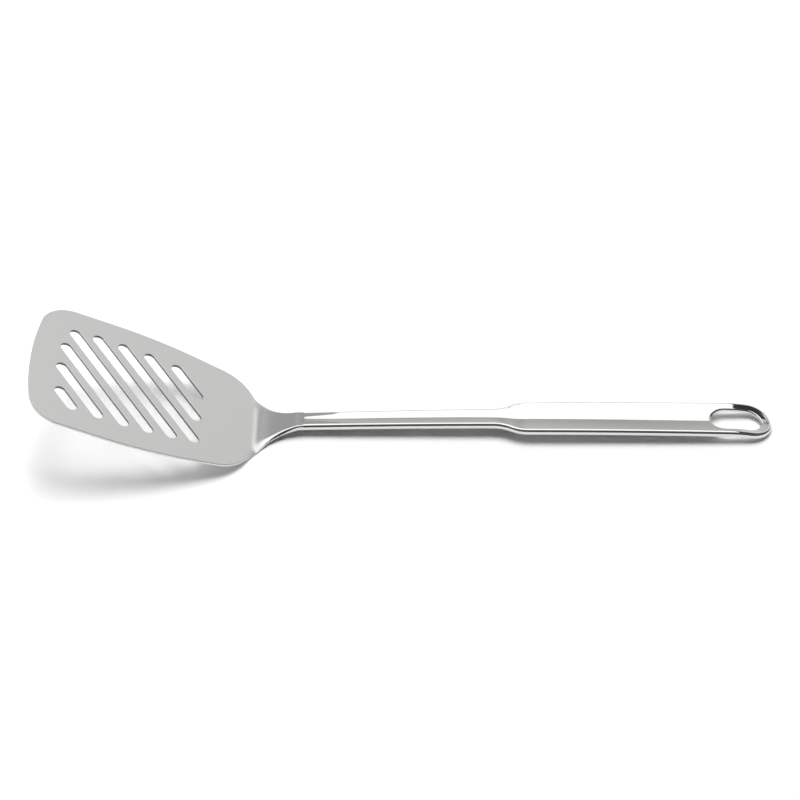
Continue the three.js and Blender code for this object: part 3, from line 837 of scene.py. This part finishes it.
def handle_outline():
    """(s, y, facing in s, facing in y) along +y to the tail, round it, and back along -y."""
    side = []
    for s in handle_stations():
        w, slope = half_width(s)
        across = 1 / math.hypot(1, slope)
        side.append((s, w, -slope * across, across))
    tail = []
    for a in np.linspace(0, math.pi, TAIL_ROWS)[1:-1]:
        tail.append((
            TAIL_CENTRE + TAIL_HALF_WIDTH * math.sin(a), TAIL_HALF_WIDTH * math.cos(a),
            math.sin(a), math.cos(a),
        ))
    return side + tail + [(s, -y, ns, -ny) for s, y, ns, ny in reversed(side)]


def dish_turn(s):
    """The dish's steepest slope across the handle."""
    started = min(max((s - WELD) / DISH_RUN_IN, 0), 1)
    shank = SHANK_DISH_TURN * math.sin(started * math.pi / 2)
    return shank + (GRIP_DISH_TURN - SHANK_DISH_TURN) * eased(s, FLARE_START - FLARE_RUN_IN, GRIP_START)


def rim_turn(s):
    """How far the rim leans into the dish: not at all at the weld, where a groove starts in the flat."""
    return dish_turn(s) * eased(s, RIM_LEANS_FROM, RIM_LEANS_BY)


def dish_height(s, y):
    """Height of the dished top: a parabola that the rim leans into, and the groove that starts it."""
    lean = rim_turn(s)
    inset = RIM_REACH + RIM_RADIUS * math.sin(lean)
    if s > TAIL_CENTRE:
        reach, out = TAIL_HALF_WIDTH - inset, math.hypot(s - TAIL_CENTRE, y)
    else:
        reach, out = half_width(s)[0] - inset, abs(y)
    flat = 1 - (out / reach) ** 2
    sunk = reach * math.tan(lean) / 2 * flat
    wide = reach * (GROOVE_START_SHARE + (1 - GROOVE_START_SHARE) * eased(s, WELD, GROOVE_WIDENS_BY))
    in_groove = max(1 - (out / wide) ** 2, 0)
    groove = wide * math.tan(dish_turn(s) - lean) * GROOVE_DEPTH * in_groove**2
    return -RIM_RADIUS * (1 - math.cos(lean)) - sunk - groove


handle_edge = handle_outline()
grip_dish = -dish_height((GRIP_START + TAIL_END) / 2, 0)
print("handle outline:", len(handle_edge), "points, dish", round(grip_dish, 2), "mm deep in the grip")

# %% [markdown]
# ### Rim
# The press turns the sheet's edge down all round. Its cross-section is a tight arc over the top, a wider
# one down the side and small roundings at the lower edge. A surface without thickness would do for the
# upper side, but the rim is seen from the end and from below too, so it runs up inside again.

# %% Handle rim
RIM_ROWS = 14
EDGE_ROWS = 6
FILLET_ROWS = 5
LOWER_EDGE = 0.3
INNER_FILLET = 0.5


def rim_profile(s):
    """(inset, height) points from the dish over the rim, down the wall and up inside to the sheet."""
    points = []
    for a in np.linspace(-rim_turn(s), RIM_SIDE_FROM, RIM_ROWS + 1):
        points.append((RIM_REACH - RIM_RADIUS * math.sin(a), RIM_RADIUS * (math.cos(a) - 1)))
    side_top = points[-1][1] - RIM_SIDE_RADIUS * math.cos(RIM_SIDE_FROM)
    for a in np.linspace(RIM_SIDE_FROM, math.pi / 2 + RIM_LEAN, RIM_ROWS + 1)[1:]:
        points.append((RIM_SIDE_RADIUS * (1 - math.sin(a)), side_top + RIM_SIDE_RADIUS * math.cos(a)))
    outer = points[-1][0]
    for a in np.linspace(0, math.pi / 2, EDGE_ROWS):
        inset = outer + LOWER_EDGE * (1 - math.cos(a))
        points.append((inset, -RIM_WALL + LOWER_EDGE * (1 - math.sin(a))))
    for a in np.linspace(math.pi / 2, 0, EDGE_ROWS):
        inset = HANDLE_SHEET - LOWER_EDGE * (1 - math.cos(a))
        points.append((inset, -RIM_WALL + LOWER_EDGE * (1 - math.sin(a))))
    return points


def at_inset(edge_point, inset):
    s, y, face_s, face_y = edge_point
    return s - inset * face_s, y - inset * face_y


def rim_rows(skin):
    rows = []
    for point in handle_edge:
        turned = min(point[0], TAIL_CENTRE)
        row = []
        for inset, n in rim_profile(turned):
            s, y = at_inset(point, inset)
            row.append(place(s, y, n))
        under = HANDLE_SHEET + INNER_FILLET
        s, y = at_inset(point, under)
        roof = dish_height(s, y) - HANDLE_SHEET
        for a in np.linspace(0, math.pi / 2, FILLET_ROWS):
            inset = under - INNER_FILLET * math.cos(a)
            s, y = at_inset(point, inset)
            row.append(place(s, y, roof - INNER_FILLET * (1 - math.sin(a))))
        rows.append(skin.row(row))
    skin.join(rows)
    return rows


skin = Skin()
rim = rim_rows(skin)
print("rim:", len(rim), "profiles of", len(rim[0]), "points")

# %% [markdown]
# ### Dish and hanging hole
# The hole is pierced and its edge is pushed through, which leaves a smooth collar for a hook. A cut
# through a finished mesh would leave slivers that a mirror shows. So the dish is filled in rows across
# the handle up to the hole, and in rings from there to the collar.

# %% Dish and hole
ACROSS = 45
TO_HOLE = 16
COLLAR_ROWS = 7
COLLAR_EDGE_ROWS = 9
DISH_ROUNDS = 12
DRAWN_IN_X = 0.8
DRAWN_IN_Y = 0.9


def hole_loop(grown, count_like):
    """The hole's outline in plan, with a point for each given one, at its bearing from the hole."""
    radius = HOLE_WIDTH / 2 + grown
    rear = TAIL_X * 1000 - HOLE_FROM_TAIL - HOLE_WIDTH / 2
    front = rear - HOLE_LENGTH + HOLE_WIDTH
    loop = []
    for x, y in count_like:
        near = min(max(x, front), rear)
        if front < x < rear:
            loop.append((near, math.copysign(radius, y)))
        else:
            out = math.hypot(x - near, y)
            loop.append((near + radius * (x - near) / out, radius * y / out))
    return loop


def on_dish(x, y, lowered=0.0):
    """Where the dished top, or the sheet's underside, lies above a point in plan (mm in the frame)."""
    s = x - SHIFT_X + (TAIL_END - spine(TAIL_END)[0]) / 2
    for _ in range(DISH_ROUNDS):
        n = dish_height(s, y) - lowered
        s += x - place(s, y, n)[0] * 1000
    return s, y


def fill_dish(skin, boundary, inset, lowered):
    """Fills the dish between the rim rows, then from the rim to the hole. Gives the row at the hole."""
    stations = handle_stations()
    last = stations.index(min(stations, key=lambda s: abs(s - HOLE_ROWS_FROM)))
    count = len(handle_edge)
    rows = []
    for i in range(last + 1):
        s, w = at_inset(handle_edge[i], inset)
        inner = []
        for y in np.linspace(w, -w, ACROSS)[1:-1]:
            inner.append(place(s, y, dish_height(s, y) - lowered))
        rows.append([boundary[i]] + skin.row(inner) + [boundary[count - 1 - i]])
    skin.join(rows)
    ring = boundary[last:count - last] + rows[-1][-2:0:-1]
    plan = [(1000 * skin.points[i][0], 1000 * skin.points[i][1]) for i in ring]
    centre = TAIL_X * 1000 - HOLE_FROM_TAIL - HOLE_LENGTH / 2
    from_hole = hole_loop(COLLAR_ROUNDING if lowered == 0 else HANDLE_SHEET, spread_round(plan, centre))
    before = ring + ring[:1]
    outer = [on_dish(x, y, lowered) for x, y in plan]
    inner = [on_dish(x, y, lowered) for x, y in from_hole]
    for step in range(1, TO_HOLE + 1):
        t = step / TO_HOLE
        points = []
        for (s0, y0), (s1, y1) in zip(outer, inner):
            s, y = s0 + (s1 - s0) * t, y0 + (y1 - y0) * t
            points.append(place(s, y, dish_height(s, y) - lowered))
        row = skin.row(points)
        row = row + row[:1]
        skin.bridge(before, row)
        before = row
    return before, from_hole


def spread_round(plan, centre):
    """The ring's points drawn in to the hole's bearing, evenly enough for its round ends."""
    return [(centre + (x - centre) * DRAWN_IN_X, y * DRAWN_IN_Y) for x, y in plan]


top_hole, top_plan = fill_dish(skin, [row[0] for row in rim], RIM_REACH, 0.0)
under_rim = [row[-1] for row in rim]
under_hole, under_plan = fill_dish(skin, under_rim, HANDLE_SHEET + INNER_FILLET, HANDLE_SHEET)

# The collar: rounded over from the dish, down to the level of the rim's lower edge, and up outside.
collar = [top_hole]
for a in np.linspace(0, math.pi / 2, COLLAR_ROWS)[1:]:
    points = []
    for x, y in hole_loop(COLLAR_ROUNDING * (1 - math.sin(a)), top_plan):
        s, y = on_dish(x, y)
        _, across, up = place(s, y, dish_height(s, y))
        points.append((x / 1000, across, up - COLLAR_ROUNDING * (1 - math.cos(a)) / 1000))
    row = skin.row(points)
    collar.append(row + row[:1])


def collar_low(x, y):
    s, y = on_dish(x, y)
    return place(s, y, -RIM_WALL)[2]


for a in np.linspace(0, math.pi, COLLAR_EDGE_ROWS):
    grown = HANDLE_SHEET / 2 * (1 - math.cos(a))
    raised = HANDLE_SHEET / 2 * (1 - math.sin(a))
    loop = hole_loop(grown, top_plan if grown < HANDLE_SHEET else under_plan)
    row = skin.row([(x / 1000, y / 1000, collar_low(x, y) + raised / 1000) for x, y in loop])
    collar.append(row + row[:1])
collar.append(under_hole)
skin.join(collar)
print("collar:", len(collar), "rings of", len(top_plan), "points")

# %% Handle top shell
# The weld end is closed by strips between the top and the underside of the first row.
def close_weld_end(skin):
    def level(lowered, inset, ends):
        s, w = at_inset(handle_edge[0], inset)
        row = [place(s, y, dish_height(s, y) - lowered) for y in np.linspace(w, -w, ACROSS)[1:-1]]
        return [ends[0]] + skin.row(row) + [ends[1]]

    top = level(0.0, RIM_REACH, (rim[0][0], rim[-1][0]))
    under = level(HANDLE_SHEET, HANDLE_SHEET + INNER_FILLET, (rim[0][-1], rim[-1][-1]))
    loop = rim[0][::-1][:-1] + top + rim[-1][1:] + under[::-1][1:-1]
    skin.faces.append(tuple(loop))


close_weld_end(skin)
shell = skin.piece("handle_top_shell_polished", sharp=math.radians(60))
shell.data.materials.append(polished)
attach(shell, "root")
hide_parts("handle_top_shell")

# %% [markdown]
# ## Bottom pan
# The hollow grip is closed from below by a bellied pan, let in between the walls and polished with them.
# It is two grids a sheet's thickness apart, and its edge meets the inside of the walls.

# %% Bottom pan
PAN_SHEET = 0.8
WELD_GAP = 0.3
PAN_START = GRIP_START - 7
PAN_END = HOLE_START - 7
PAN_STEP = 1.0
PAN_BITE = 0.05
GRIP_BELLY = 2.9
PAN_END_RUN = 24.0
GRIP_DISH = 1.4


def pan_depth(s, across):
    """How far the pan hangs below the handle's top: bellied in the middle, flat where it closes."""
    closed = HANDLE_SHEET + GRIP_DISH + WELD_GAP + PAN_SHEET - RIM_WALL
    belly = GRIP_BELLY + (closed - GRIP_BELLY) * eased(s, PAN_END - PAN_END_RUN, PAN_END)
    return RIM_WALL + belly * (1 - across**2)


skin = Skin()
faces = []
for raised in (0.0, PAN_SHEET):
    rows = []
    for s in steps(PAN_START, PAN_END, PAN_STEP):
        w = half_width(s)[0] - HANDLE_SHEET + PAN_BITE
        row = [place(s, w * t, raised - pan_depth(s, t)) for t in np.linspace(1, -1, ACROSS)]
        rows.append(skin.row(row))
    skin.join(rows)
    faces.append(rows)
for side in (0, -1):
    skin.bridge([row[side] for row in faces[0]], [row[side] for row in faces[1]])
    skin.bridge(faces[0][side], faces[1][side])
pan = skin.piece("handle_bottom_pan_polished", sharp=math.radians(50))
pan.data.materials.append(polished)
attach(pan, "root")
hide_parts("handle_bottom_pan")

# %% [markdown]
# ## Shank bar
# A solid bar lies between the walls of the shank and shows from below. Its CAD solid has the right
# shape, so it stays and only gets a finish: drawn steel with fine lines along its length.

# %% Shank bar finish
# To the eye: a duller grey than the sheet, streaked along the bar.
drawn, nodes, metal = new_material("drawn_steel_bar", {"Base Color": linear("#C4C3C0"), "Metallic": 1.0})
spot = add_node(nodes, "ShaderNodeTexCoord").outputs["Object"]
stretched = add_node(nodes, "ShaderNodeMapping", {"Vector": spot, "Scale": (20.0, 900.0, 900.0)})
lines = add_node(nodes, "ShaderNodeTexNoise", {"Vector": stretched, "Scale": 1.0, "Detail": 3.0})
nodes.links.new(uneven(nodes, lines, 0.26, 0.36), metal.inputs["Roughness"])
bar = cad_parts["shank_bar"]
bar.data.materials.clear()
bar.data.materials.append(drawn)
print("shank bar:", len(bar.data.polygons), "faces")

# %% [markdown]
# ## Studio
# Polished steel shows the room more than itself, so the studio is part of the look. Plain lamps would
# leave the handle black with a few bright dots. In a studio a small white set is built round such a tool,
# and the next cells do the same: paper below, a lit box above, two lamps and a room round them.

# %% Floor
# To the eye: a plain white ground that shows nothing but the shadows.
FLOOR_HALF = 6.0

floor_corners = ((-1, -1), (1, -1), (1, 1), (-1, 1))
floor_points = [(x * FLOOR_HALF, y * FLOOR_HALF, 0) for x, y in floor_corners]
floor_mesh = bpy.data.meshes.new("floor")
floor_mesh.from_pydata(floor_points, [], [(0, 1, 2, 3)])
floor = new_object("floor", floor_mesh)
paper = new_material("white_paper", {
    "Base Color": linear("#FCFCFC"), "Roughness": 1.0, "Specular IOR Level": 0.0,
})[0]
floor.data.materials.append(paper)

# %% [markdown]
# ### Light box
# A wide box of white fabric, lit from inside, hangs above and gives the white half of the dish. An area
# lamp is always a rectangle, and this box's back edge is slanted, so it is a mesh that glows.

# %% Light box
# To the eye: the clean white shape in the handle. Corners are multiples of its height.
BOX_HEIGHT = 2.0
BOX_LEFT = -0.8
BOX_RIGHT = 0.35
BOX_FRONT = -0.15
BOX_BACK = 1.27
BOX_SLANT = 0.5
BOX_RADIANCE = 1.5

corners = [
    (BOX_LEFT, BOX_FRONT), (BOX_RIGHT, BOX_FRONT),
    (BOX_RIGHT, BOX_BACK + BOX_SLANT * BOX_RIGHT), (BOX_LEFT, BOX_BACK + BOX_SLANT * BOX_LEFT),
]
box_points = [(x * BOX_HEIGHT, y * BOX_HEIGHT, BOX_HEIGHT) for x, y in corners]
box_mesh = bpy.data.meshes.new("light_box")
box_mesh.from_pydata(box_points, [], [(3, 2, 1, 0)])
light_box = new_object("light_box", box_mesh)
fabric = new_material("lit_white_fabric", {
    "Base Color": linear("#000000"), "Emission Color": linear("#FFFFFF"),
    "Emission Strength": BOX_RADIANCE,
})[0]
light_box.data.materials.append(fabric)
light_box.visible_camera = False
print("light box at", BOX_HEIGHT, "m")

# %% [markdown]
# ### Lamps
# Two lamps light the paper. The one above makes the soft shadows. A small low one reaches in under the
# raised blade, as the white side of a studio would. Neither shows in reflections, because the box and the
# room already stand for them.

# %% Lamps
# Name, place, size in metres and power in watts.
LAMPS = (
    ("overhead_lamp", (0.1, 0.3, 1.9), 1.4, 28.0),
    ("low_fill_lamp", (-0.33, 0.08, 0.05), 0.08, 0.42),
)
LIT_SPOT = Vector((-0.05, 0.0, 0.0))

for name, where, size, power in LAMPS:
    lamp_data = bpy.data.lights.new(name, "AREA")
    lamp_data.size = size
    lamp_data.energy = power
    lamp = new_object(name, lamp_data)
    lamp.location = where
    lamp.rotation_euler = (Vector(where) - LIT_SPOT).to_track_quat("Z", "Y").to_euler()
    lamp.visible_glossy = False
    lamp.visible_camera = False
    print(name, "of", power, "W")

# %% [markdown]
# ### Room
# What stands round the set is drawn by direction in the world, which takes less than walls of geometry:
# a pale wall behind that is brighter on one side, a grey frame below the box's back edge, and a dim
# front, which draws the thin dark lines along the rims.

# %% Room
# Pairs of a place, across the wall or up it, and the light from there.
FRAME = ((0.0, 0.44), (0.1, 0.46), (0.2, 0.54), (0.6, 0.58))
WALL = (
    (0.0, 0.2), (0.14, 0.2), (0.24, 0.56), (0.36, 0.68), (0.45, 0.78), (0.53, 0.78), (0.56, 0.66),
    (0.6, 0.75), (0.66, 1.15), (0.83, 1.2), (0.89, 0.12), (1.0, 0.15),
)
UPRIGHT = ((0.0, 1.1), (0.2, 1.05), (0.5, 0.92), (1.0, 0.9))
FRAME_WIDTH = 0.1
FRAME_END = 0.64
FRAME_SOFTNESS = 0.03
BOX_SOFTNESS = 0.003
SIDE_FROM = 0.62
SIDE_TOP = 0.7
SIDE_SOFTNESS = 0.02
FRONT_SOFTNESS = 0.1
FRONT = 0.13
DARK = 0.06

world = bpy.data.worlds.new("studio")
bpy.context.scene.world = world
world.use_nodes = True
nodes = world.node_tree
nodes.nodes.clear()


def ramp(value, levels):
    """A grey ramp of (position, level) stops."""
    node = add_node(nodes, "ShaderNodeValToRGB", {0: value})
    for i, (position, level) in enumerate(levels):
        stop = node.color_ramp.elements[i] if i < 2 else node.color_ramp.elements.new(position)
        stop.position = position
        stop.color = (level, level, level, 1)
    return node.outputs[0]


def share(value, low, high):
    """0 where a value is at the low limit or below, 1 at the high one or above."""
    return add_node(nodes, "ShaderNodeMapRange", {
        "Value": value, "From Min": low, "From Max": high,
    }).outputs[0]


def past(value, limit, softness):
    """1 where a value is past a limit, 0 where it isn't yet."""
    return share(value, limit - softness, limit + softness)


direction = add_node(nodes, "ShaderNodeTexCoord").outputs["Generated"]
to = add_node(nodes, "ShaderNodeSeparateXYZ", {0: direction}).outputs
flat = add_node(nodes, "ShaderNodeVectorMath", {0: direction, 1: (1, 1, 0)}, operation="MULTIPLY")
bearing = add_node(nodes, "ShaderNodeVectorMath", {0: flat}, operation="NORMALIZE")
bearing = add_node(nodes, "ShaderNodeSeparateXYZ", {0: bearing}).outputs
sideways = share(bearing["X"], -1.0, 1.0)
at_back = past(to["Y"], 0.0, FRONT_SOFTNESS)
wall = calc(nodes, "MULTIPLY", ramp(sideways, WALL), ramp(to["Z"], UPRIGHT))
dim = mix(nodes, at_back, FRONT, DARK)

# Below the box's slanted back edge come its grey frame and then the wall.
under_box = add_node(nodes, "ShaderNodeVectorMath", {
    0: direction, 1: (-BOX_SLANT, 1.0, -BOX_BACK),
}, operation="DOT_PRODUCT").outputs["Value"]
framed = share(under_box, 0.0, FRAME_WIDTH)
edged = mix(nodes, past(framed, FRAME_END, FRAME_SOFTNESS), ramp(framed, FRAME), wall)
behind = mix(nodes, past(under_box, 0.0, BOX_SOFTNESS), dim, edged)

# To the right of the box the wall goes on up.
right = past(sideways, SIDE_FROM, SIDE_SOFTNESS)
above = past(to["Z"], SIDE_TOP, SIDE_SOFTNESS)
beside = calc(nodes, "MULTIPLY", calc(nodes, "SUBTRACT", right, above, use_clamp=True), at_back)
room = mix(nodes, beside, behind, wall)
background = add_node(nodes, "ShaderNodeBackground", {"Strength": room})
add_node(nodes, "ShaderNodeOutputWorld", {0: background})
print("room:", len(nodes.nodes), "nodes")
